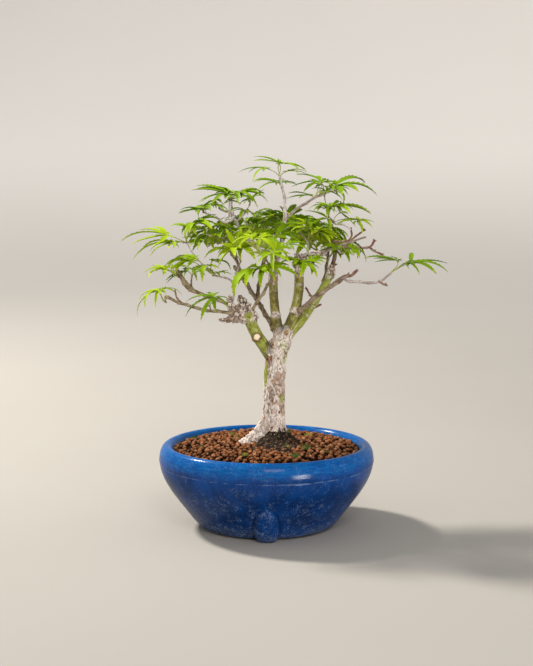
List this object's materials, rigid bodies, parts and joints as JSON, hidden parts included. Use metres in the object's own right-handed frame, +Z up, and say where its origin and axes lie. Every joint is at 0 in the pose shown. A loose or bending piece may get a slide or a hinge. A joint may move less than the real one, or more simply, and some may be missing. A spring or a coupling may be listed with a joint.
{
  "type": "potted japanese maple bonsai",
  "caption": "Small deciduous bonsai tree with a flared trunk, spreading boughs and open pads of palmate leaves, growing in granular soil in a round glazed bowl on feet.",
  "frame": {"origin": "middle of the bowl's flat underside, on the surface that it stands on", "axes": "+Z up, -Y to the front, where one foot of the bowl shows in the middle, +X to the right seen from the front"},
  "size_m": [0.3182, 0.2145, 0.3436],
  "materials": {
    "blue_glaze": "glossy cobalt blue glaze with mineral specks",
    "clay_granules": "loose fired clay granules, matt",
    "bark": "furrowed beige and grey bark with pale patches",
    "green_bark": "smooth young bark, green to brown",
    "leaves": "soft matt green leaves"
  },
  "bodies": {
    "root": {"bough_left": "green_bark", "bough_right": "green_bark", "branch_back_centre": "green_bark", "branch_back_left": "green_bark", "branch_back_right": "green_bark", "branch_crossing": "green_bark", "branch_far_right": "green_bark", "branch_front": "green_bark", "branch_left_high": "green_bark", "branch_left_low": "green_bark", "branch_right_tip": "green_bark", "branch_side_right": "green_bark", "branch_upper_left": "green_bark", "branch_upper_right": "green_bark", "burr_left": "bark", "foliage_back_centre": "leaves", "foliage_back_left": "leaves", "foliage_back_right": "leaves", "foliage_centre_left": "leaves", "foliage_far_left": "leaves", "foliage_far_right": "leaves", "foliage_front": "leaves", "foliage_front_right": "leaves", "foliage_hanging": "leaves", "foliage_heart": "leaves", "foliage_left_shoulder": "leaves", "foliage_low_left": "leaves", "foliage_mid_left": "leaves", "foliage_right_low": "leaves", "foliage_right_upper": "leaves", "foliage_top": "leaves", "foliage_top_right": "leaves", "foliage_upper_left": "leaves", "leader": "green_bark", "pot": "blue_glaze", "soil": "clay_granules", "stem_back": "green_bark", "stem_centre": "green_bark", "stem_right": "green_bark", "trunk": "bark"}
  },
  "joints": []
}
